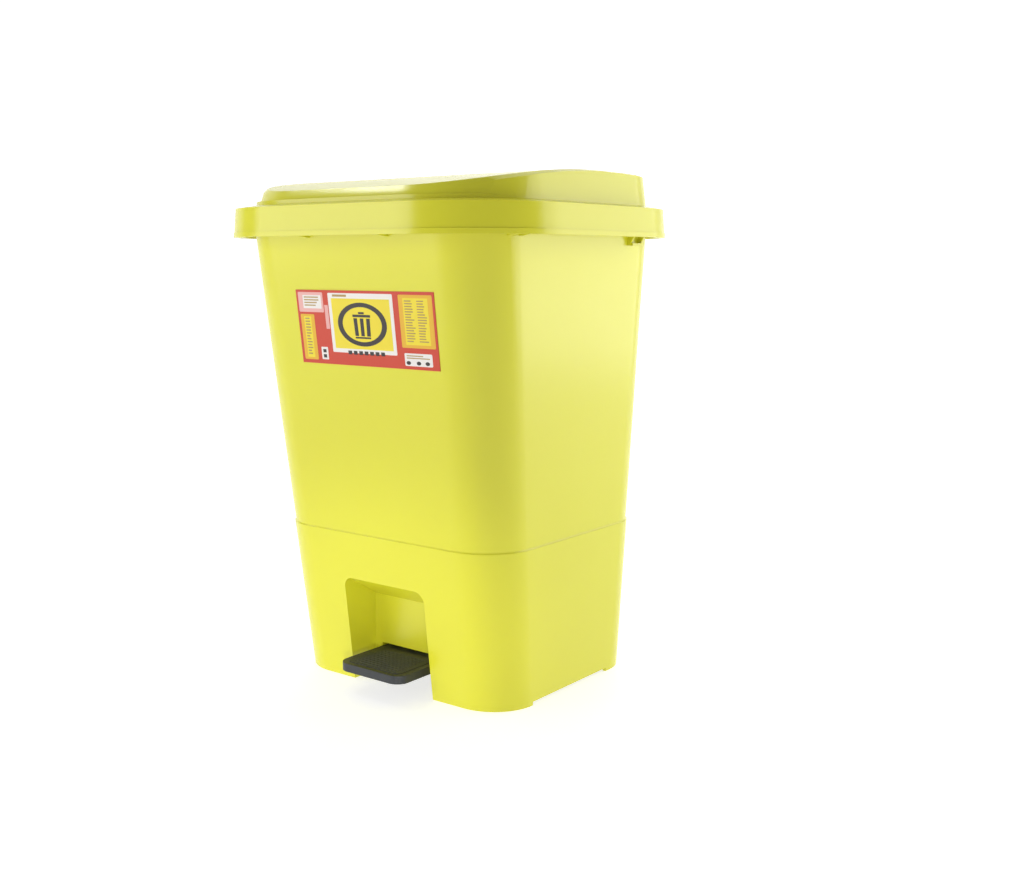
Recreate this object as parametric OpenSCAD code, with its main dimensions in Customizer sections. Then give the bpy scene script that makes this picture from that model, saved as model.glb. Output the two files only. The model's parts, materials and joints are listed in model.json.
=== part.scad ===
// Pedal-operated waste bin: tapered body, hinged domed lid, pedal lever, push rod and lift-out bucket.
// Frame: origin on the ground under the middle of the bin, -Y to the pedal, +X to the right of someone who
// faces the pedal, +Z up. Millimetres.

/* [Overall] */
// Width across the lid skirt
lid_w = 315; // [305:1:325]
// Depth across the lid skirt
lid_d = 305; // [298:1:312]
// Height to the crown of the lid
bin_h = 430; // [427:1:434]

/* [Body] */
// Wall thickness of the body
wall = 2.2; // [1.8:0.1:2.6]
// Height of the moulded floor above the pedal compartment
floor_z = 129; // [126:1:132]
// Height of the body's top edge
rim_z = 392; // [391:0.5:392.5]
// How far the lower section stands proud of the upper one
step = 1; // [0.4:0.1:1.2]
// Half-width of the pedal recess
recess_hw = 43.7; // [42:0.1:46]

/* [Lid] */
// Height of the skirt's lower edge
skirt_z = 377.5; // [377:0.5:378.5]
// Height of the skirt's upper edge
skirt_top = 401; // [400:0.5:401]
// Lid wall thickness
lid_wall = 2.4; // [2:0.1:2.6]

/* [Pedal] */
// Half-width of the pedal plate
pedal_hw = 34.5; // [32:0.5:36]
// Thickness of the pedal plate
pedal_t = 6; // [5:0.5:8]
// Diameter of the steel axle
axle_d = 6; // [5:0.5:6]
// Diameter of the steel push rod
rod_d = 5; // [4:0.5:5]

/* [Label] */
// Width of the front label
label_w = 146; // [120:1:150]
// Height of the front label
label_h = 60; // [50:1:64]

/* [Hidden] */
$fn = 48;
outline_fn = 64;
eps = 0.02;

yellow = [0.88, 0.88, 0.33];
dark = [0.26, 0.27, 0.26];
steel = [0.72, 0.73, 0.75];
grey = [0.55, 0.56, 0.55];
red = [0.82, 0.25, 0.2];

// The body tapers between two outlines: [half-width, front y, rear y, corner radius]
body_base = [114.4, -76.6, 118.4, 38.5];
body_top = [133.1, -127.7, 133.2, 48.7];
body_top_z = 378.4;
// Bottom edges: the corners stand lower than the stretches between them
foot_edge = 0.8;
raised_edge = 3.8;
raised_side_y = [-37, 73];
raised_rear_hw = 68;
foot_x = 93.5;
foot_y = [-55.5, 97.5];
floor_t = 3;
step_z = floor_z + 4;

// Flange round the body's mouth
flange = [151.5, -146.6, 146, 82];
flange_t = 3;
// Ribs under the flange: a pair at each side's front, two on the front, and a boxed stop of two at the hinge end
gusset_side_y = [-94, -83];
gusset_front_x = 42;
stop_y = [70, 86];
stop_reach = 5;
stop_drop = 7;
flange_lip_z = 377.9;
lip_t = 2.2;
lip_end_y = 112;

// Pedal recess: a pocket in the front, with a ceiling that falls towards its back wall
recess_front_y = -100;
recess_bend_y = recess_front_y + 12;
recess_back_y = -51;
recess_wall = 5;
recess_top_front = 93;
recess_top_back = 71;
recess_back_edge = 28;
recess_r = 9;

// Hinge axis of the lid
hinge_y = 139.5;
hinge_z = 382;
pin_r = 2.5;
pin_run = 0.06;
ear_x = 60;
ear_t = 6;
ear_r = 5.2;
cheek_t = 4.5;
cheek_gap = 0.5;
cheek_r = 5.6;

// Lid outlines
skirt_r = 88;
skirt_draft = 2;
// Thickened band at the edge of the skirt
band_h = 4;
band_t = 0.3;
// Raised ledge round the crown's front, which dies away along the sides
ledge = [141, -138, 138, 82, 66];
ledge_top = 406.5;
ledge_end = [-112, -62];
shoulder_z = 403.6;
// The crown's outlines have rounder corners at the front than at the rear
crown = [138, -136.5, 133, 80, 60];
crown_mid = [134.6, -132.4, 129.6, 76, 56];
crown_cap = [131.4, -129.4, 126.4, 73, 53];
crown_bevel = [3.4, 1];
// Side profile of the crown: two arcs that meet at the highest point
crest_y = 30;
front_arc_r = 790;
rear_arc_r = 2400;

// Pedal lever: the axle, the foot plate in front of it and the arm behind it. The plate's border hangs a
// little below it, and the tread pad lies in a seat in its top.
axle_y = -38;
axle_z = 22;
hub_r = 7;
plate_front = -109;
plate_front_z = 25.5;
plate_tilt = 0;
arm_l = 148;
arm_end_z = 9.5;
arm_rest = asin((arm_end_z - axle_z) / arm_l);
rod_y = axle_y + arm_l * cos(arm_rest);
rod_hub_r = 5.5;
rod_run = 0.06;

// Push rod: from the lever's end up to the slot in the lift bracket, leaning back a little
rod_top_y = rod_y + 6;
rod_top_z = 366;
rod_bend = 6;
rod_lean = atan((rod_top_y - rod_y) / (rod_top_z - arm_end_z));
rod_hook = 24;
guide_r = 3.7;
guide_z = 250;
guide_hw = 19;
guide_h = 14;
guide_eye_r = 8;
guide_eye_t = 4;

// Slot in the lift bracket, in the lid's frame at rest
slot_y = 117.9;
slot_z = 367;
slot_l = 6.6;
slot_hw = 3.5;
slot_deg = 35.4;
bracket_x = 12;
bracket_t = 4;

// Axle brackets behind the recess
bracket_gap = 0.8;
cheek_plate_t = 3;
bracket_low = 34;
bracket_top = 62;
screw_r = 1.75;

// ---------- shared shapes ----------

function mix(a, b, t) = a + (b - a) * t;
function body_at(z) = [for (i = [0:3]) mix(body_base[i], body_top[i], z / body_top_z)];
function inset(o, d) = [o[0] - d, o[1] + d, o[2] - d, o[3] - d, rear_radius(o) - d];
function rear_radius(o) = len(o) > 4 ? o[4] : o[3];
function rear_inner(z) = body_at(z)[2] - wall;
function front_outer(z) = body_at(z)[1];

// Flat outline with round corners: [half-width, front, rear, radius], and a fifth value if the rear radius
// differs
module outline(o) {
    front_r = o[3];
    rear_r = rear_radius(o);
    middle = (o[1] + o[2]) / 2;
    translate([-o[0], o[1] + front_r]) square([2 * o[0], o[2] - o[1] - front_r - rear_r]);
    translate([-o[0] + front_r, o[1]]) square([2 * (o[0] - front_r), middle - o[1]]);
    translate([-o[0] + rear_r, middle]) square([2 * (o[0] - rear_r), o[2] - middle]);
    for (s = [-1, 1]) {
        translate([s * (o[0] - front_r), o[1] + front_r]) circle(front_r, $fn = outline_fn);
        translate([s * (o[0] - rear_r), o[2] - rear_r]) circle(rear_r, $fn = outline_fn);
    }
}

module slab(o, z, t) {
    translate([0, 0, z]) linear_extrude(t) outline(o);
}

// Tapered block between two outlines
module loft(lower, z0, upper, z1) {
    hull() {
        slab(lower, z0, eps);
        slab(upper, z1 - eps, eps);
    }
}

// Cylinder along X, centred on x
module rod_x(r, l, x, y, z) {
    translate([x, y, z]) rotate([0, 90, 0]) cylinder(h = l, r = r, center = true);
}

// Prism along X from a side-view outline in (y, z)
module side_prism(points, x0, x1) {
    translate([x0, 0, 0]) rotate([90, 0, 90]) linear_extrude(x1 - x0) polygon(points);
}

// ---------- body ----------

module recess_void() {
    r = recess_r;
    // Side-view outline, cut to the rounded opening seen from the front
    intersection() {
        side_prism([[recess_front_y - 20, -5], [recess_back_y, -5], [recess_back_y, recess_top_back],
            [recess_bend_y, recess_top_front], [recess_front_y - 20, recess_top_front]],
            -recess_hw, recess_hw);
        translate([0, 60, 0]) rotate([90, 0, 0]) linear_extrude(220) {
            translate([-recess_hw, -6]) square([2 * recess_hw, recess_top_front + 6 - r]);
            translate([-recess_hw + r, -6]) square([2 * (recess_hw - r), recess_top_front + 6]);
            for (s = [-1, 1]) translate([s * (recess_hw - r), recess_top_front - r]) circle(r);
        }
    }
}

// Moulded walls round the recess, left standing inside the compartment
module recess_block() {
    w = recess_hw + wall;
    side_prism([[-140, -6], [recess_back_y, -6], [recess_back_y, recess_back_edge],
        [recess_back_y + recess_wall, recess_back_edge], [recess_back_y + recess_wall, recess_top_back],
        [recess_bend_y, recess_top_front + wall], [-140, recess_top_front + wall]], -w, w);
    // Beside the lever the back wall goes down to the bottom edge
    gap = pedal_hw + 1.2;
    for (x = [-w, gap]) translate([x, recess_back_y, -6]) cube([w - gap, recess_wall, recess_back_edge + 7]);
}

module foot_spots() {
    for (x = [-foot_x, foot_x], y = foot_y) translate([x, y, 0]) children();
}

module hinge_cheeks() {
    for (s = [-1, 1], side = [-1, 1]) {
        x = s * ear_x + side * (ear_t / 2 + cheek_gap + cheek_t / 2);
        rod_x(cheek_r, cheek_t, x, hinge_y, hinge_z);
        translate([x - cheek_t / 2, body_top[2] - 1, hinge_z - cheek_r])
            cube([cheek_t, hinge_y - body_top[2] + 1, 2 * cheek_r]);
        translate([x - cheek_t / 2, body_top[2] - 1, hinge_z]) cube([cheek_t, 12, rim_z - hinge_z - 1]);
    }
}

module gusset(reach, drop) {
    // Rib in the XZ plane from the wall out to the flange, its foot drop below the flange's edge
    low = flange_lip_z - drop;
    rotate([90, 0, 0]) linear_extrude(2, center = true)
        polygon([[-gusset_root, low], [2, low], [reach, flange_lip_z + 1], [reach, rim_z - 1],
            [-gusset_root, rim_z - 1]]);
}
gusset_root = 8;

// Half-width of the flange at y, along its side and its front corner
function flange_x(y) = let(r = flange[3], past = max(0, flange[1] + r - y))
    flange[0] - r + sqrt(r * r - past * past);

module gussets() {
    side_x = body_top[0] - 0.8;
    for (s = [0, 1]) mirror([s, 0, 0]) translate([side_x, 0, 0]) {
        for (y = gusset_side_y) translate([0, y, 0]) gusset(flange_x(y) - side_x - 1.5, 1.5);
        for (y = stop_y) translate([0, y, 0]) gusset(stop_reach + 2, stop_drop);
        translate([-gusset_root, stop_y[0], flange_lip_z - stop_drop])
            cube([gusset_root + stop_reach, stop_y[1] - stop_y[0], 2]);
    }
    front_reach = -flange[1] + body_top[1] - 0.2;
    for (x = [-gusset_front_x, gusset_front_x]) translate([x, body_top[1] + 0.8, 0]) rotate([0, 0, -90])
        gusset(front_reach, 1.5);
}

module body_shell() {
    color(yellow) difference() {
        union() {
            loft(inset(body_at(foot_edge), -step), foot_edge, inset(body_at(step_z), -step), step_z);
            // Chamfer over the step
            loft(inset(body_at(step_z - 0.5), 0.05 - step), step_z - 0.5,
                inset(body_at(step_z + 1.5), 0.4), step_z + 1.5);
            loft(body_at(floor_z), floor_z, body_at(rim_z), rim_z);
            slab(flange, rim_z - flange_t, flange_t);
            difference() {
                slab(flange, flange_lip_z, rim_z - flange_lip_z);
                slab(inset(flange, lip_t), flange_lip_z - 1, rim_z);
                // The lip is left off round the hinge, where the lid's skirt swings down
                translate([-200, lip_end_y, flange_lip_z - 1])
                    cube([400, 60, rim_z - flange_t - flange_lip_z + 1]);
            }
            hinge_cheeks();
            gussets();
        }
        loft(inset(body_at(floor_z), wall), floor_z, inset(body_at(rim_z + 1), wall), rim_z + 1);
        difference() {
            loft(inset(body_at(-1), wall - 0.2), -1,
                inset(body_at(floor_z - floor_t), wall), floor_z - floor_t);
            recess_block();
            foot_spots() cylinder(h = 18, r = 12);
        }
        recess_void();
        // Raised stretches of the bottom edge between the corners
        translate([-160, raised_side_y[0], -1])
            cube([320, raised_side_y[1] - raised_side_y[0], raised_edge + 1]);
        translate([-raised_rear_hw, 60, -1]) cube([2 * raised_rear_hw, 80, raised_edge + 1]);
        // Seats and stems of the foot pads
        foot_spots() {
            translate([0, 0, -1]) cylinder(h = 3, r = 10.4);
            cylinder(h = 9, r = 2.5);
        }
        // Clear way for the lid's ears through the flange
        for (s = [-1, 1]) translate([s * ear_x - ear_t / 2 - cheek_gap, body_at(rim_z)[2] + 0.1, 370])
            cube([ear_t + 2 * cheek_gap, 40, 40]);
        for (s = [-1, 1]) rod_x(pin_r, 2 * cheek_t + ear_t + 4, s * ear_x, hinge_y, hinge_z);
        // Floor hole for the grommet, and wall holes for the guide's pegs
        translate([0, rod_floor_y, floor_z - 10]) cylinder(h = 20, r = 7);
        for (x = [-guide_peg_x, guide_peg_x]) translate([x, rear_inner(guide_z) - 6, guide_z])
            rotate([-90, 0, 0]) cylinder(h = 14, r = 2.5);
        for (s = [-1, 1], z = bracket_screw_z) translate([s * bracket_screw_x, recess_back_y + 0.8, z])
            rotate([-90, 0, 0]) cylinder(h = 10, r = screw_r);
    }
}

rod_floor_y = mix(rod_y, rod_top_y, (floor_z - arm_end_z) / (rod_top_z - arm_end_z)) - 0.3;
rod_guide_y = mix(rod_y, rod_top_y, (guide_z - arm_end_z) / (rod_top_z - arm_end_z)) - 0.3;
guide_peg_x = 13;
bracket_screw_x = pedal_hw + bracket_gap - 4.6;
bracket_screw_z = [42, 56];

// Rubber pads under the four corners, each with a stem pushed into its boss
module foot_pads() {
    color(dark) foot_spots() {
        difference() {
            cylinder(h = 2, r = 10);
            translate([0, 0, -1]) cylinder(h = 2, r = 3.5);
        }
        translate([0, 0, 1]) cylinder(h = 7.5, r = 2.5);
    }
}

// ---------- inner bucket ----------

bucket_low = [104, -86, 94, 30];
bucket_high = [121.5, -116, 96.5, 38];
bucket_z = floor_z + 0.1;
bucket_top = 388;
bucket_wall = 1.8;
bucket_rim = 3.6;
grip_x = 118;

module inner_bucket() {
    low = bucket_low;
    high = bucket_high;
    rim = inset(high, -bucket_rim);
    color(grey) difference() {
        union() {
            loft(low, bucket_z, high, bucket_top);
            // Rolled edge: a flat lip with a turned-down border
            slab(rim, bucket_top - 2, 2);
            difference() {
                slab(rim, bucket_top - 8, 8);
                slab(inset(rim, 1.6), bucket_top - 9, 10);
            }
            // Finger tabs at both sides
            for (s = [-1, 1]) translate([s * (grip_x + 4) - 7, -34, bucket_top - 2]) cube([14, 48, 2]);
        }
        loft(inset(low, bucket_wall), bucket_z + bucket_wall + 0.6,
            inset(high, bucket_wall), bucket_top + eps * 2);
        // Shallow recess under the base, so that it stands on its border
        slab(inset(low, 10), bucket_z - 1, 1.8);
    }
}

// ---------- lid ----------

function crest_z(y) = y < crest_y
    ? bin_h - front_arc_r + sqrt(pow(front_arc_r, 2) - pow(y - crest_y, 2))
    : bin_h - rear_arc_r + sqrt(pow(rear_arc_r, 2) - pow(y - crest_y, 2));

// How far the crown's edge lies below its top: most at the front, least from the crest back
function bevel_at(y) = y > crest_y ? crown_bevel[1]
    : mix(crown_bevel[0], crown_bevel[1], (y + lid_d / 2) / (crest_y + lid_d / 2));

// What lies within an outline and under the crown's side profile, lowered by drop and by share of the bevel
module under_crest(o, drop, share, z0) {
    front_steps = 16;
    rear_steps = 4;
    ys = concat([for (i = [0:front_steps - 1]) mix(-lid_d / 2, crest_y, i / front_steps)],
        [for (i = [0:rear_steps]) mix(crest_y, lid_d / 2, i / rear_steps)]);
    intersection() {
        slab(o, z0, 60);
        side_prism(concat([[-lid_d / 2, z0]], [for (y = ys) [y, crest_z(y) - drop - share * bevel_at(y)]],
            [[lid_d / 2, z0]]), -170, 170);
    }
}

// The crown's solid, d inward from its outer face
module crown_block(d) {
    hull() {
        slab(inset(crown, d), shoulder_z - 1, eps);
        under_crest(inset(crown_mid, d), d, 1, shoulder_z);
        under_crest(inset(crown_cap, d), d, 0, shoulder_z);
    }
}

// The ledge's solid, d inward from its outer face
module ledge_block(d) {
    intersection() {
        slab(inset(ledge, d), skirt_top - 4, 12);
        side_prism([[-160, 390], [-160, ledge_top - d], [ledge_end[0], ledge_top - d],
            [ledge_end[1], skirt_top - d], [ledge_end[1], 390]], -170, 170);
    }
}

// The top of the skirt rises a little towards the crown
module shoulder(skirt_high) {
    loft(skirt_high, skirt_top - eps, inset(crown, -1), shoulder_z);
}

module lid_ear(x) {
    rod_x(ear_r, ear_t, x, hinge_y, hinge_z);
    translate([x - ear_t / 2, hinge_y - ear_r + 0.2, hinge_z])
        cube([ear_t, 2 * ear_r - 1, skirt_top - hinge_z - 1]);
}

module lid_shell() {
    skirt_low = [lid_w / 2, -lid_d / 2, lid_d / 2, skirt_r];
    skirt_high = inset(skirt_low, skirt_draft);
    color(yellow) difference() {
        union() {
            difference() {
                union() {
                    loft(inset(skirt_low, band_t), skirt_z, skirt_high, skirt_top);
                    slab(skirt_low, skirt_z, band_h);
                    shoulder(skirt_high);
                    ledge_block(0);
                    crown_block(0);
                }
                loft(inset(skirt_low, lid_wall + band_t), skirt_z - 1,
                    inset(skirt_high, lid_wall), skirt_top - lid_wall);
                ledge_block(lid_wall);
                slab(inset(crown, lid_wall), skirt_top - lid_wall - 1, shoulder_z - skirt_top + lid_wall + 1);
                crown_block(lid_wall);
            }
            for (s = [-1, 1]) lid_ear(s * ear_x);
            bumper_spots() cylinder(h = skirt_top - 1 - bumper_z0 - bumper_h, r = 3.2);
        }
        for (s = [-1, 1]) rod_x(pin_r + pin_run, ear_t + 2, s * ear_x, hinge_y, hinge_z);
        // Holes for the lift bracket's screws
        for (x = lift_screw_x, y = lift_screw_y) translate([x, y, 415])
            cylinder(h = lift_roof_z + 1.4 - 415, r = screw_r);
    }
}

// Rubber buffers on the lid that meet the body's flange
bumper_z0 = rim_z + 0.3;
bumper_h = 4;
bumper_front = [62, -139.5];
bumper_side = [143.5, 20];

module bumper_spots() {
    for (s = [-1, 1]) {
        translate([s * bumper_front[0], bumper_front[1], bumper_z0 + bumper_h]) children();
        translate([s * bumper_side[0], bumper_side[1], bumper_z0 + bumper_h]) children();
    }
}

module lid_bumpers() {
    color(dark) bumper_spots() translate([0, 0, -bumper_h]) {
        cylinder(h = 2, r1 = 3.6, r2 = 4.6);
        translate([0, 0, 2]) cylinder(h = bumper_h - 2, r = 4.6);
    }
}

// ---------- lift bracket ----------

lift_front_y = 110;
lift_rear_y = 122;
lift_foot_y = 98;
lift_foot_t = 3.5;
lift_roof_z = crest_z(lift_rear_y) - lid_wall - 0.3;
lift_screw_y = [104, 117];

module slot_shape(r, l, t) {
    translate([bracket_x, slot_y, slot_z]) rotate([slot_deg, 0, 0]) {
        for (s = [-1, 1]) rod_x(r, t, 0, s * l / 2, 0);
        translate([-t / 2, -l / 2, -r]) cube([t, l, 2 * r]);
    }
}

module lift_bracket() {
    color(dark) difference() {
        union() {
            slot_shape(slot_hw + 2.8, slot_l, bracket_t);
            side_prism([[lift_front_y, slot_z], [lift_rear_y, slot_z + 5], [lift_rear_y, lift_roof_z],
                [lift_front_y, lift_roof_z]], bracket_x - bracket_t / 2, bracket_x + bracket_t / 2);
            // Foot plate against the crown, with webs to the blade
            translate([bracket_x - 14, lift_foot_y, lift_roof_z - lift_foot_t])
                cube([28, lift_rear_y - lift_foot_y, lift_foot_t]);
            side_prism([[lift_front_y, lift_roof_z - 26], [lift_front_y, lift_roof_z],
                [lift_foot_y + 1, lift_roof_z]], bracket_x - 1.5, bracket_x + 1.5);
        }
        slot_shape(slot_hw, slot_l, bracket_t + 2);
        for (x = lift_screw_x, y = lift_screw_y) translate([x, y, lift_roof_z - 6])
            cylinder(h = 8, r = screw_r + 0.3);
    }
}
lift_screw_x = [bracket_x - 9, bracket_x + 9];

module lift_bracket_screws() {
    color(steel) for (x = lift_screw_x, y = lift_screw_y) translate([x, y, lift_roof_z - lift_foot_t])
        rotate([180, 0, 0]) pan_screw(lift_foot_t + 1.3);
}

// Pan-head screw: head on +Z, shank of length l on -Z
module pan_screw(l) {
    difference() {
        cylinder(h = 2.2, r1 = 3.4, r2 = 2.6);
        for (a = [0, 90]) rotate([0, 0, a]) translate([-2, -0.45, 1.1]) cube([4, 0.9, 2]);
    }
    translate([0, 0, -l]) cylinder(h = l + eps, r = screw_r);
}

// ---------- lid hinge ----------

module hinge_pin(s) {
    half = ear_t / 2 + cheek_gap + cheek_t;
    color(steel) {
        rod_x(pin_r, 2 * half + 2.4, s * (ear_x - 1.2), hinge_y, hinge_z);
        rod_x(4, 1.6, s * (ear_x + half + 0.8), hinge_y, hinge_z);
    }
}
module hinge_pin_left() { hinge_pin(-1); }
module hinge_pin_right() { hinge_pin(1); }

module hinge_pin_caps() {
    x = ear_x - ear_t / 2 - cheek_gap - cheek_t - 0.8;
    color(steel) for (s = [-1, 1]) difference() {
        rod_x(4.4, 1.4, s * x, hinge_y, hinge_z);
        rod_x(pin_r, 3, s * x, hinge_y, hinge_z);
    }
}

// ---------- pedal ----------

module plate_frame() {
    // Origin on the top face of the plate, at its front edge
    translate([0, plate_front, plate_front_z]) rotate([-plate_tilt, 0, 0]) children();
}

module plate_outline(margin, depth, r) {
    hw = pedal_hw - margin;
    translate([-hw, margin + r]) square([2 * hw, depth - margin - r]);
    translate([-hw + r, margin]) square([2 * (hw - r), depth - margin]);
    for (s = [-1, 1]) translate([s * (hw - r), margin + r]) circle(r);
}

module pedal_lever() {
    color(dark) difference() {
        union() {
            plate_frame() {
                translate([0, 0, -pedal_t]) linear_extrude(pedal_t) plate_outline(0, plate_l, plate_r);
                translate([0, 0, -pedal_t - border_h]) linear_extrude(border_h + 1) difference() {
                    plate_outline(0, plate_l, plate_r);
                    plate_outline(border_w, plate_l + 2 * border_w, plate_r - border_w);
                }
            }
            rod_x(hub_r, 2 * pedal_hw, 0, axle_y, axle_z);
            arm_frame() {
                translate([-18, 0, -5]) cube([38, arm_l - 9, 10]);
                translate([10, arm_l - 12, -4]) cube([10, 12, 8]);
                rod_x(rod_hub_r, 10, 15, arm_l, 0);
            }
        }
        // Seat of the tread pad
        plate_frame() translate([0, 0, -pad_seat]) linear_extrude(4)
            plate_outline(pad_margin, pad_l, plate_r - pad_margin);
        rod_x(axle_d / 2 + rod_run, 2 * pedal_hw + 2, 0, axle_y, axle_z);
        arm_frame() {
            // The arm is a channel, open below
            translate([-15, hub_r + 3, -7]) cube([32, arm_l - 24, 9]);
            rod_x(rod_d / 2 + rod_run, 14, 15, arm_l, 0);
        }
    }
}
plate_l = 68;
plate_r = 11;
border_w = 4;
border_h = 1;
pad_l = 52;
pad_margin = 5.5;
pad_seat = 1.2;
pad_play = 0.1;
rib_count = 10;
rib_l = 46;
rib_w = 1.4;
rib_first = 9.5;
rib_pitch = 4;

module arm_frame() {
    translate([0, axle_y, axle_z]) rotate([arm_rest, 0, 0]) children();
}

// Ribbed tread pad let into the plate
module pedal_pad() {
    color(grey) plate_frame() {
        translate([0, 0, -pad_seat]) linear_extrude(pad_seat + 0.4)
            plate_outline(pad_margin + pad_play, pad_l - pad_play, plate_r - pad_margin - pad_play);
        for (i = [0:rib_count - 1]) translate([-rib_l / 2, rib_first + rib_pitch * i, 0.2])
            cube([rib_l, rib_w, 0.5]);
    }
}

module pedal_axle() {
    color(steel) rod_x(axle_d / 2, 2 * (pedal_hw + bracket_gap + cheek_plate_t + 3.4), 0, axle_y, axle_z);
}

module axle_bracket(s) {
    x0 = pedal_hw + bracket_gap;
    wall_y = recess_back_y + recess_wall;
    color(yellow) mirror([s < 0 ? 1 : 0, 0, 0]) difference() {
        union() {
            rod_x(hub_r, cheek_plate_t, x0 + cheek_plate_t / 2, axle_y, axle_z);
            side_prism([[axle_y - hub_r, axle_z], [axle_y + hub_r, axle_z], [axle_y + 4, bracket_top],
                [wall_y + 0.05, bracket_top], [wall_y + 0.05, bracket_low]], x0, x0 + cheek_plate_t);
            translate([x0 - 9.5, wall_y + 0.05, bracket_low])
                cube([9.5 + cheek_plate_t, 3, bracket_top - bracket_low]);
        }
        rod_x(axle_d / 2 + eps, 20, x0, axle_y, axle_z);
        for (z = bracket_screw_z) translate([bracket_screw_x, wall_y - 1, z]) rotate([-90, 0, 0])
            cylinder(h = 6, r = screw_r + 0.2);
    }
}
module axle_bracket_left() { axle_bracket(-1); }
module axle_bracket_right() { axle_bracket(1); }

module axle_bracket_screws() {
    face_y = recess_back_y + recess_wall + 3.05;
    color(steel) for (s = [-1, 1], z = bracket_screw_z) translate([s * bracket_screw_x, face_y, z])
        rotate([-90, 0, 0]) pan_screw(6.4);
}

module axle_clips() {
    x = pedal_hw + bracket_gap + cheek_plate_t + 0.8;
    color(steel) for (s = [-1, 1]) difference() {
        rod_x(6, 1, s * x, axle_y, axle_z);
        rod_x(axle_d / 2, 3, s * x, axle_y, axle_z);
    }
}

// ---------- push rod ----------

// Quarter bend from +Z into +X, starting at the origin
module rod_elbow() {
    translate([rod_bend, 0, 0]) rotate([90, 0, 0]) rotate([0, 0, 90]) rotate_extrude(angle = 90)
        translate([rod_bend, 0]) circle(rod_d / 2);
}

module push_rod() {
    run = (rod_top_z - arm_end_z) / cos(rod_lean);
    color(steel) translate([0, rod_y, arm_end_z]) rotate([-rod_lean, 0, 0]) {
        translate([0, 0, rod_bend]) cylinder(h = run - 2 * rod_bend, r = rod_d / 2);
        translate([0, 0, run - rod_bend]) rod_elbow();
        translate([0, 0, rod_bend]) mirror([0, 0, 1]) rod_elbow();
        for (z = [0, run]) translate([rod_bend, 0, z]) rotate([0, 90, 0])
            cylinder(h = rod_hook - rod_bend, r = rod_d / 2);
    }
}

module push_nut(x, y, z) {
    color(steel) difference() {
        rod_x(5, 1.2, x, y, z);
        rod_x(rod_d / 2, 3, x, y, z);
    }
}
module rod_top_clip() { push_nut(bracket_x + bracket_t / 2 + 1.2, rod_top_y, rod_top_z); }
module rod_bottom_clip() { push_nut(21.2, rod_y, arm_end_z); }

// Rubber grommet in the floor
module rod_grommet() {
    color(dark) translate([0, rod_floor_y, floor_z - floor_t]) difference() {
        union() {
            cylinder(h = floor_t, r = 7);
            translate([0, 0, -1.6]) cylinder(h = 1.6, r = 9);
            translate([0, 0, floor_t]) cylinder(h = 1.6, r = 9);
        }
        translate([0, 0, -3]) cylinder(h = 10, r = guide_r);
    }
}

// Guide eye on the rear wall, held by two pegs through the wall
module rod_guide() {
    back = rear_inner(guide_z - guide_h / 2) - 0.1;
    depth = back - rod_guide_y;
    color(dark) difference() {
        union() {
            translate([-guide_hw, back - 3, guide_z - guide_h / 2]) cube([2 * guide_hw, 3, guide_h]);
            translate([-guide_eye_r, rod_guide_y, guide_z - guide_eye_t / 2])
                cube([2 * guide_eye_r, depth, guide_eye_t]);
            translate([0, rod_guide_y, guide_z - guide_eye_t / 2]) cylinder(h = guide_eye_t, r = guide_eye_r);
            for (x = [-guide_peg_x, guide_peg_x]) translate([x, back - 1, guide_z]) rotate([-90, 0, 0]) {
                cylinder(h = 6.4, r = 2.5);
                translate([0, 0, wall + 2.2]) cylinder(h = 1.6, r1 = 3.4, r2 = 2.2);
            }
        }
        translate([0, rod_guide_y, guide_z - 5]) cylinder(h = 10, r = guide_r);
    }
}

// ---------- label ----------

label_x = 9.5;
label_z = 305.5;
label_t = 0.4;

module front_label() {
    slope = atan((body_base[1] - body_top[1]) / body_top_z);
    color(red) translate([label_x, front_outer(label_z) - 0.02, label_z]) rotate([slope, 0, 0])
        translate([-label_w / 2, -label_t, -label_h / 2]) cube([label_w, label_t, label_h]);
}

body_shell();
inner_bucket();
lid_shell();
lift_bracket();
lift_bracket_screws();
lid_bumpers();
hinge_pin_left();
hinge_pin_right();
hinge_pin_caps();
pedal_lever();
pedal_pad();
pedal_axle();
axle_bracket_left();
axle_bracket_right();
axle_bracket_screws();
axle_clips();
push_rod();
rod_top_clip();
rod_bottom_clip();
rod_grommet();
rod_guide();
foot_pads();
front_label();
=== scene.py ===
"""Looks of the pedal bin: studio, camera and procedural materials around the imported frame."""
import json
import math
import random

import bpy
from mathutils import Matrix, Vector


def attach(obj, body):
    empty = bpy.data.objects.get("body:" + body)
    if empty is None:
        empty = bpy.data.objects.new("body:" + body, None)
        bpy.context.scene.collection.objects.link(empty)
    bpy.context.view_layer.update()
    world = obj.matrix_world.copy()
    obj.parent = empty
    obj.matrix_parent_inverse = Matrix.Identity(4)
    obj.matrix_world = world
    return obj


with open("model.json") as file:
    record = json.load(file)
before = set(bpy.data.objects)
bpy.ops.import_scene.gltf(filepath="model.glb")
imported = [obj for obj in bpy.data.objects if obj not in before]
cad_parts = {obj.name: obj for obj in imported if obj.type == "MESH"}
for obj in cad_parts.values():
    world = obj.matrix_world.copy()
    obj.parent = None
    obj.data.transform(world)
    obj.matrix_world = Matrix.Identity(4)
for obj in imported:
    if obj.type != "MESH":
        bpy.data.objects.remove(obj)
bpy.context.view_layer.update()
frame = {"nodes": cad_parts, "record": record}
MM = 0.001


# ---------- camera ----------

CAM_AZIMUTH = math.radians(38.8)
CAM_PITCH = math.radians(7.4)
CAM_DISTANCE = 1078.4 * MM
CAM_HEIGHT = 357.0 * MM
CAM_SIDE = 4.8 * MM
FOCAL_IN_WIDTHS = 1.2150
SENSOR = 36.0
SHIFT_X = 0.0568
SHIFT_Y = -0.0155
CLIP_NEAR = 0.05
CLIP_FAR = 50


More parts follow.
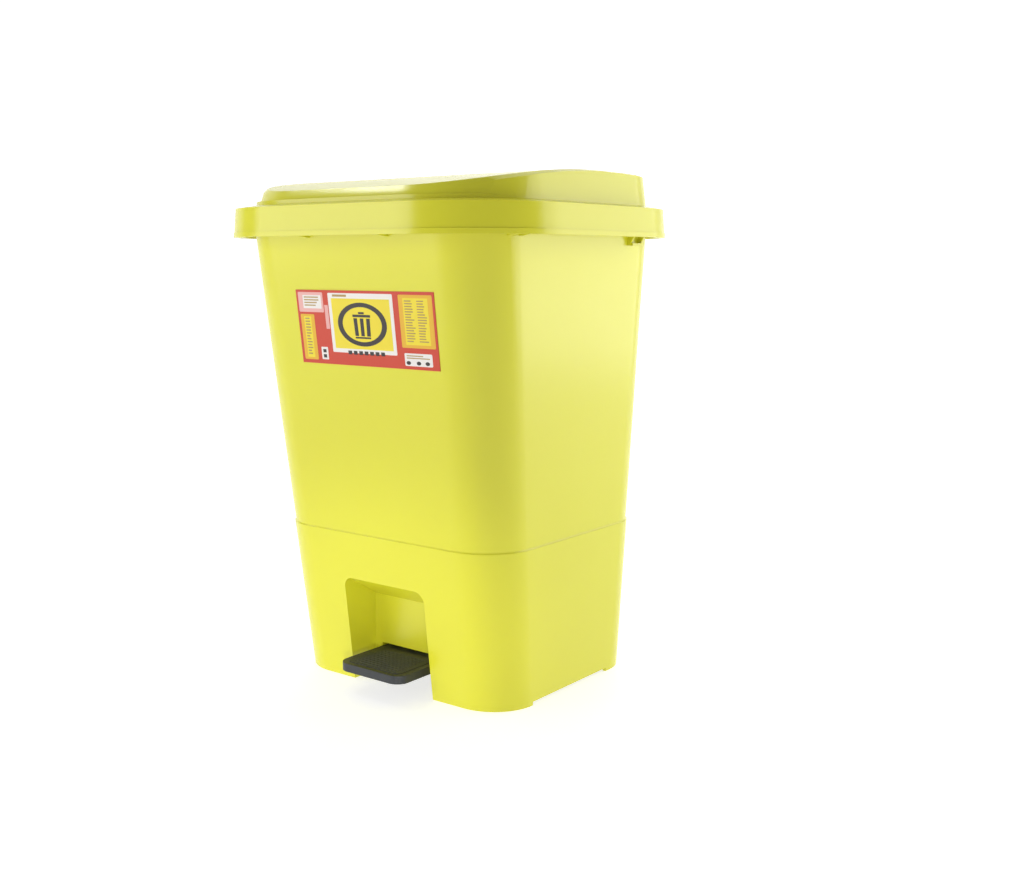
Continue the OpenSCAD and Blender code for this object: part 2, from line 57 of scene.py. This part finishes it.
def make_camera():
    forward = Vector((-math.sin(CAM_AZIMUTH) * math.cos(CAM_PITCH),
                      math.cos(CAM_AZIMUTH) * math.cos(CAM_PITCH), -math.sin(CAM_PITCH)))
    right = Vector((math.cos(CAM_AZIMUTH), math.sin(CAM_AZIMUTH), 0))
    data = bpy.data.cameras.new("camera")
    data.sensor_width = SENSOR
    data.lens = FOCAL_IN_WIDTHS * SENSOR
    data.shift_x = SHIFT_X
    data.shift_y = SHIFT_Y
    data.clip_start = CLIP_NEAR
    data.clip_end = CLIP_FAR
    camera = bpy.data.objects.new("camera", data)
    bpy.context.collection.objects.link(camera)
    place = Vector((math.sin(CAM_AZIMUTH) * CAM_DISTANCE, -math.cos(CAM_AZIMUTH) * CAM_DISTANCE,
                    CAM_HEIGHT))
    camera.location = place + right * CAM_SIDE
    camera.rotation_mode = "QUATERNION"
    camera.rotation_quaternion = forward.to_track_quat("-Z", "Y")
    bpy.context.scene.camera = camera


# ---------- studio ----------

WORLD_STRENGTH = 0.26
FLOOR_GLOW = 0.72
FLOOR_GREY = 0.5
FLOOR_ROUGHNESS = 0.6
BEAM_POWER = 150
BEAM_ANGLE = math.radians(5.4)
BEAM_RADIUS = 0.12
BEAM_TARGET = Vector((-0.025, -0.07, 0.05))
BODY_MIDDLE = (0, 0, 0.20)


def area_light(name, place, target, size, power):
    data = bpy.data.lights.new(name, "AREA")
    data.shape = "RECTANGLE"
    data.size, data.size_y = size
    data.energy = power
    lamp = bpy.data.objects.new(name, data)
    bpy.context.collection.objects.link(lamp)
    lamp.location = place
    lamp.rotation_mode = "QUATERNION"
    lamp.rotation_quaternion = (Vector(target) - Vector(place)).to_track_quat("-Z", "Y")


def around(azimuth, distance, height):
    """A place at an azimuth from the front, turning to the right of the bin."""
    turn = math.radians(azimuth)
    return (math.sin(turn) * distance, -math.cos(turn) * distance, height)


def light_recess():
    """A narrow soft beam low in front, for the walls of the pedal recess."""
    data = bpy.data.lights.new("recess_beam", "SPOT")
    data.energy = BEAM_POWER
    data.spot_size = BEAM_ANGLE
    data.spot_blend = 1.0
    data.shadow_soft_size = BEAM_RADIUS
    lamp = bpy.data.objects.new("recess_beam", data)
    bpy.context.collection.objects.link(lamp)
    lamp.location = around(40, 1.6, 0.12)
    lamp.rotation_mode = "QUATERNION"
    lamp.rotation_quaternion = (BEAM_TARGET - lamp.location).to_track_quat("-Z", "Y")


def make_floor():
    """A pale floor that curves up into a backdrop far behind the bin."""
    half, front, back, bend, top, steps = 9.0, -6.0, 4.0, 2.5, 7.0, 16
    profile = [(front, 0.0), (back, 0.0)]
    for i in range(1, steps + 1):
        a = math.pi / 2 * i / steps
        profile.append((back + bend * math.sin(a), bend * (1 - math.cos(a))))
    profile.append((back + bend, top))
    turn = Matrix.Rotation(CAM_AZIMUTH, 4, "Z")
    points, faces = [], []
    for y, z in profile:
        points += [turn @ Vector((-half, y, z)), turn @ Vector((half, y, z))]
    for i in range(len(profile) - 1):
        faces.append((2 * i, 2 * i + 1, 2 * i + 3, 2 * i + 2))
    mesh = bpy.data.meshes.new("floor")
    mesh.from_pydata(points, [], faces)
    mesh.update()
    for polygon in mesh.polygons:
        polygon.use_smooth = True
    floor = bpy.data.objects.new("floor", mesh)
    bpy.context.collection.objects.link(floor)
    white = simple_material("floor_white", (FLOOR_GREY,) * 3, FLOOR_ROUGHNESS)
    shader = white.node_tree.nodes["Principled BSDF"]
    shader.inputs["Emission Color"].default_value = (1, 1, 1, 1)
    shader.inputs["Emission Strength"].default_value = FLOOR_GLOW
    mesh.materials.append(white)


def make_studio():
    world = bpy.data.worlds.new("studio")
    bpy.context.scene.world = world
    world.use_nodes = True
    tree = world.node_tree
    soft_sky = tree.nodes["Background"]
    soft_sky.inputs["Color"].default_value = (1, 1, 1, 1)
    soft_sky.inputs["Strength"].default_value = WORLD_STRENGTH
    # The camera itself sees plain white beyond the floor
    backdrop = tree.nodes.new("ShaderNodeBackground")
    backdrop.inputs["Strength"].default_value = 1.0
    backdrop.inputs["Color"].default_value = (1, 1, 1, 1)
    choose = tree.nodes.new("ShaderNodeMixShader")
    tree.links.new(tree.nodes.new("ShaderNodeLightPath").outputs["Is Camera Ray"], choose.inputs[0])
    tree.links.new(soft_sky.outputs[0], choose.inputs[1])
    tree.links.new(backdrop.outputs[0], choose.inputs[2])
    tree.links.new(choose.outputs[0], tree.nodes["World Output"].inputs["Surface"])
    bpy.context.scene.view_settings.view_transform = "Standard"
    # The two big lights stand at the left and at the right rear, and leave the near corner in shade
    area_light("front_softbox", around(-36, 2.1, 0.62), BODY_MIDDLE, (1.5, 1.15), 17.5)
    area_light("side_softbox", around(136, 1.5, 0.62), BODY_MIDDLE, (1.3, 1.2), 12.5)
    area_light("top_softbox", around(200, 0.9, 2.2), (0, 0, 0.3), (1.4, 1.4), 10)
    area_light("rim_window", around(-71, 1.0, 1.5), (0, -0.13, 0.41), (0.34, 0.2), 3.0)
    area_light("back_light", (-0.5, 3.0, 3.0), (-1.0, 5.5, 1.5), (3.0, 2.0), 190)
    light_recess()


# ---------- materials ----------

DRIFT_SCALE = 9.0
CLOUD_SCALE = 34.0
GRAIN_DEPTH = 0.0002
GLOW_RADIUS = (0.006, 0.005, 0.001)
PLASTIC_IOR = 1.5
STREAK_SCALE = 180.0
STREAK_STRETCH = (1.0, 1.0, 0.08)


def new_material(name):
    material = bpy.data.materials.new(name)
    material.use_nodes = True
    return material, material.node_tree, material.node_tree.nodes["Principled BSDF"]


def simple_material(name, colour, roughness):
    material, _, shader = new_material(name)
    shader.inputs["Base Color"].default_value = (*colour, 1)
    shader.inputs["Roughness"].default_value = roughness
    return material


def add(tree, kind, **values):
    node = tree.nodes.new(kind)
    for key, value in values.items():
        if key in node.inputs:
            node.inputs[key].default_value = value
        else:
            setattr(node, key, value)
    return node


def plastic(name, light, deep, roughness, grain, bump, subsurface=0.0):
    """Moulded plastic: slow colour drift, roughness drift and a fine surface grain."""
    material, tree, shader = new_material(name)
    link = tree.links.new
    place = add(tree, "ShaderNodeTexCoord").outputs["Object"]
    drift = add(tree, "ShaderNodeTexNoise", Scale=DRIFT_SCALE, Detail=3.0, Roughness=0.5)
    link(place, drift.inputs["Vector"])
    mix = add(tree, "ShaderNodeMix", data_type="RGBA")
    mix.inputs["A"].default_value = (*light, 1)
    mix.inputs["B"].default_value = (*deep, 1)
    link(drift.outputs["Fac"], mix.inputs["Factor"])
    link(mix.outputs["Result"], shader.inputs["Base Color"])
    cloud = add(tree, "ShaderNodeTexNoise", Scale=CLOUD_SCALE, Detail=4.0, Roughness=0.55)
    link(place, cloud.inputs["Vector"])
    rough = add(tree, "ShaderNodeMapRange")
    rough.inputs["To Min"].default_value = roughness * 0.86
    rough.inputs["To Max"].default_value = roughness * 1.16
    link(cloud.outputs["Fac"], rough.inputs["Value"])
    link(rough.outputs["Result"], shader.inputs["Roughness"])
    fine = add(tree, "ShaderNodeTexNoise", Scale=grain, Detail=2.0, Roughness=0.5)
    link(place, fine.inputs["Vector"])
    relief = add(tree, "ShaderNodeBump", Strength=bump, Distance=GRAIN_DEPTH)
    link(fine.outputs["Fac"], relief.inputs["Height"])
    link(relief.outputs["Normal"], shader.inputs["Normal"])
    shader.inputs["Subsurface Weight"].default_value = subsurface
    shader.inputs["Subsurface Radius"].default_value = GLOW_RADIUS
    shader.inputs["IOR"].default_value = PLASTIC_IOR
    return material


def metal(name, colour, roughness):
    """Plated steel with fine streaks in its roughness."""
    material, tree, shader = new_material(name)
    link = tree.links.new
    place = add(tree, "ShaderNodeTexCoord").outputs["Object"]
    streak = add(tree, "ShaderNodeTexNoise", Scale=STREAK_SCALE, Detail=3.0, Roughness=0.6)
    stretch = add(tree, "ShaderNodeMapping")
    stretch.inputs["Scale"].default_value = STREAK_STRETCH
    link(place, stretch.inputs["Vector"])
    link(stretch.outputs["Vector"], streak.inputs["Vector"])
    rough = add(tree, "ShaderNodeMapRange")
    rough.inputs["To Min"].default_value = roughness * 0.7
    rough.inputs["To Max"].default_value = roughness * 1.5
    link(streak.outputs["Fac"], rough.inputs["Value"])
    link(rough.outputs["Result"], shader.inputs["Roughness"])
    shader.inputs["Base Color"].default_value = (*colour, 1)
    shader.inputs["Metallic"].default_value = 1.0
    return material


# ---------- front label ----------

LABEL_W = 146 * MM
LABEL_H = 60 * MM
# How far the inks reach into the film and stand proud of it, from the lowest layer to the top one
INK_ROOT = -0.05 * MM
INK_LOW, INK_MID, INK_HIGH, INK_TOP = 0.05 * MM, 0.08 * MM, 0.12 * MM, 0.16 * MM
SAME_PLANE = 1e-5
INK_GRAIN = 700
INK_BUMP = 0.08
CORNER_STEPS = 4


def label_frame():
    """Matrix of the label's front face: X along its width, Y up it, Z out of it."""
    mesh = frame["nodes"]["front_label"].data
    normal = min((polygon.normal for polygon in mesh.polygons), key=lambda n: n.y).copy()
    level = max(vertex.co.dot(normal) for vertex in mesh.vertices)
    corners = [vertex.co for vertex in mesh.vertices if vertex.co.dot(normal) > level - SAME_PLANE]
    centre = sum(corners, Vector()) / len(corners)
    across = Vector((1, 0, 0))
    up = normal.cross(across)
    turn = Matrix((across, up, normal)).transposed().to_4x4()
    return Matrix.Translation(centre) @ turn


def box_outline(left, right, top, bottom, radius=0.0):
    """Outline of a rectangle given in shares of the label's width and height, from its top left corner."""
    x0, x1 = (left - 0.5) * LABEL_W, (right - 0.5) * LABEL_W
    y0, y1 = (0.5 - bottom) * LABEL_H, (0.5 - top) * LABEL_H
    if not radius:
        return [(x0, y0), (x1, y0), (x1, y1), (x0, y1)]
    points = []
    for cx, cy, start in ((x1 - radius, y0 + radius, -90), (x1 - radius, y1 - radius, 0),
                          (x0 + radius, y1 - radius, 90), (x0 + radius, y0 + radius, 180)):
        for step in range(CORNER_STEPS + 1):
            a = math.radians(start + step * 90 / CORNER_STEPS)
            points.append((cx + radius * math.cos(a), cy + radius * math.sin(a)))
    return points


def ellipse(cx, cy, rx, ry, steps=48):
    """Outline of an ellipse round (cx, cy)."""
    return [(cx + rx * math.cos(2 * math.pi * i / steps), cy + ry * math.sin(2 * math.pi * i / steps))
            for i in range(steps)]


def print_layer(name, outlines, height, material, rings=()):
    """One ink of the label: thin plates up to a height over the film. A ring is (outer, inner)."""
    points, faces = [], []
    low, high = INK_ROOT, height
    for outline in outlines:
        n, first = len(outline), len(points)
        points += [(x, y, low) for x, y in outline] + [(x, y, high) for x, y in outline]
        faces.append([first + n + i for i in range(n)])
        faces.append([first + i for i in reversed(range(n))])
        for i in range(n):
            j = (i + 1) % n
            faces.append([first + i, first + j, first + n + j, first + n + i])
    for outer, inner in rings:
        n, first = len(outer), len(points)
        for outline, z in ((outer, low), (outer, high), (inner, low), (inner, high)):
            points += [(x, y, z) for x, y in outline]
        for i in range(n):
            j = (i + 1) % n
            a, b, c, d = first, first + n, first + 2 * n, first + 3 * n
            faces += [[a + i, a + j, b + j, b + i], [b + i, b + j, d + j, d + i],
                      [d + i, d + j, c + j, c + i], [c + i, c + j, a + j, a + i]]
    mesh = bpy.data.meshes.new(name)
    mesh.from_pydata([tuple(LABEL_PLACE @ Vector(p)) for p in points], [], faces)
    mesh.update()
    mesh.materials.append(material)
    layer = bpy.data.objects.new(name, mesh)
    bpy.context.collection.objects.link(layer)
    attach(layer, "body")


def text_bars(left, right, top, bottom, rows, seed, height=0.45):
    """Rows of plain bars with ragged right ends, as small print seen from far away."""
    draw = random.Random(seed)
    pitch = (bottom - top) / rows
    return [box_outline(left, left + (right - left) * draw.uniform(0.62, 1.0), top + i * pitch,
                        top + (i + height) * pitch) for i in range(rows)]


def make_label():
    white = plastic("label_white", (0.86, 0.83, 0.80), (0.82, 0.78, 0.75), 0.3, INK_GRAIN, INK_BUMP)
    rose = plastic("label_rose", (0.83, 0.45, 0.42), (0.78, 0.38, 0.36), 0.3, INK_GRAIN, INK_BUMP)
    yellow = plastic("label_yellow", (0.86, 0.71, 0.02), (0.83, 0.66, 0.018), 0.42, INK_GRAIN, INK_BUMP)
    amber = plastic("label_amber", (0.80, 0.47, 0.015), (0.76, 0.42, 0.013), 0.42, INK_GRAIN, INK_BUMP)
    black = plastic("label_black", (0.022, 0.014, 0.012), (0.016, 0.01, 0.009), 0.32, INK_GRAIN, INK_BUMP)
    grey = plastic("label_grey", (0.46, 0.31, 0.08), (0.40, 0.26, 0.07), 0.42, INK_GRAIN, INK_BUMP)

    print_layer("label_rose_panels", [box_outline(0.015, 0.205, 0.03, 0.30, MM),
                                      box_outline(0.212, 0.238, 0.20, 0.52)], INK_LOW, rose)
    print_layer("label_white_panels", [
        box_outline(0.245, 0.715, 0.035, 0.83, MM), box_outline(0.765, 0.955, 0.79, 0.955, MM),
        box_outline(0.155, 0.205, 0.77, 0.94, 0.5 * MM), box_outline(0.05, 0.19, 0.07, 0.25, 0.5 * MM),
    ], INK_MID, white)
    print_layer("label_amber_panels", [box_outline(0.02, 0.125, 0.33, 0.95, MM),
                                       box_outline(0.755, 0.985, 0.04, 0.72, MM)], INK_MID, amber)
    print_layer("label_yellow_panels", [box_outline(0.268, 0.692, 0.105, 0.775),
                                        box_outline(0.045, 0.10, 0.36, 0.92),
                                        box_outline(0.785, 0.955, 0.08, 0.68)], INK_HIGH, yellow)

    # Pictogram: a waste bin in a ring, drawn wide as the rest of the print is
    cx, cy = -0.018 * LABEL_W, 0.055 * LABEL_H
    wide = 1.5
    size = 1.12

    def icon(points):
        return [(cx + wide * size * x * MM, cy + size * y * MM) for x, y in points]

    def circle(radius):
        return ellipse(cx, cy, wide * radius * MM, radius * MM)

    strokes = [icon([(-5.6, 5.2), (5.6, 5.2), (5.6, 7.0), (-5.6, 7.0)]),
               icon([(-1.8, 7.4), (1.8, 7.4), (1.8, 8.9), (-1.8, 8.9)]),
               icon([(-4.9, -8.2), (-2.6, -8.2), (-2.9, 4.4), (-5.2, 4.4)]),
               icon([(2.6, -8.2), (4.9, -8.2), (5.2, 4.4), (2.9, 4.4)]),
               icon([(-1.1, -8.2), (1.1, -8.2), (1.1, 4.4), (-1.1, 4.4)]),
               icon([(-4.9, -10.0), (4.9, -10.0), (4.9, -8.8), (-4.9, -8.8)])]
    strokes += [ellipse((u - 0.5) * LABEL_W, (0.5 - 0.915) * LABEL_H, 2.2 * MM, 1.5 * MM, 20)
                for u in (0.79, 0.86, 0.92)]
    strokes += [box_outline(0.36 + 0.04 * i, 0.387 + 0.04 * i, 0.80, 0.85) for i in range(7)]
    strokes += [box_outline(0.168, 0.192, v, v + 0.045) for v in (0.80, 0.87)]
    print_layer("label_black_print", strokes, INK_TOP, black, [(circle(17.4), circle(13.9))])

    bars = text_bars(0.795, 0.86, 0.11, 0.66, 16, 3) + text_bars(0.88, 0.945, 0.11, 0.66, 16, 4)
    bars += text_bars(0.053, 0.092, 0.38, 0.9, 13, 5) + text_bars(0.06, 0.18, 0.09, 0.235, 4, 6)
    bars += text_bars(0.28, 0.42, 0.055, 0.09, 1, 7, 0.8) + text_bars(0.78, 0.94, 0.815, 0.875, 2, 8)
    print_layer("label_grey_print", bars, INK_TOP, grey)


def paint_nodes(materials):
    for part in frame["record"]["subparts"]:
        node = frame["nodes"][part["node"]]
        node.data.materials.clear()
        node.data.materials.append(materials[part["material_slot"]])


# ---------- rounded edges ----------

FLAT_ANGLE = math.radians(0.4)
EDGE_ANGLE = math.radians(32)
EDGE_SEGMENTS = 3
WELD_DISTANCE = 1e-5
EDGE_WIDTHS = {
    "body_shell": 0.7 * MM, "lid_shell": 0.8 * MM, "pedal_lever": 1.1 * MM,
    "inner_bucket": 0.6 * MM, "lift_bracket": 0.5 * MM, "pedal_pad": 0.25 * MM,
}


def soften(node, width):
    """Small round edges on a CAD node, for the light to catch."""
    weld = node.modifiers.new("weld", "WELD")
    weld.merge_threshold = WELD_DISTANCE
    flat = node.modifiers.new("flat", "DECIMATE")
    flat.decimate_type = "DISSOLVE"
    flat.angle_limit = FLAT_ANGLE
    bevel = node.modifiers.new("bevel", "BEVEL")
    bevel.width = width
    bevel.segments = EDGE_SEGMENTS
    bevel.limit_method = "ANGLE"
    bevel.angle_limit = EDGE_ANGLE
    bevel.harden_normals = False
    for polygon in node.data.polygons:
        polygon.use_smooth = True
    normals = node.modifiers.new("normals", "WEIGHTED_NORMAL")
    normals.keep_sharp = False


# ---------- the scene ----------

make_camera()
make_floor()
make_studio()
MATERIALS = {
    "yellow_plastic": plastic("yellow_plastic", (0.75, 0.735, 0.040), (0.73, 0.70, 0.034),
                              0.22, 900, 0.2, 0.2),
    "bucket_plastic": plastic("bucket_plastic", (0.34, 0.35, 0.35), (0.31, 0.32, 0.32), 0.42, 1200, 0.3),
    "black_plastic": plastic("black_plastic", (0.036, 0.040, 0.044), (0.029, 0.032, 0.036), 0.5, 2200, 0.6),
    "tread_rubber": plastic("tread_rubber", (0.048, 0.054, 0.060), (0.040, 0.044, 0.050), 0.62, 2600, 0.7),
    "rubber": plastic("rubber", (0.02, 0.02, 0.02), (0.015, 0.015, 0.015), 0.7, 1800, 0.6),
    "zinc_steel": metal("zinc_steel", (0.62, 0.63, 0.64), 0.28),
    "label_film": plastic("label_film", (0.62, 0.045, 0.012), (0.58, 0.04, 0.012), 0.42, 700, 0.1),
}
paint_nodes(MATERIALS)
LABEL_PLACE = label_frame()
make_label()
for name, width in EDGE_WIDTHS.items():
    soften(frame["nodes"][name], width)
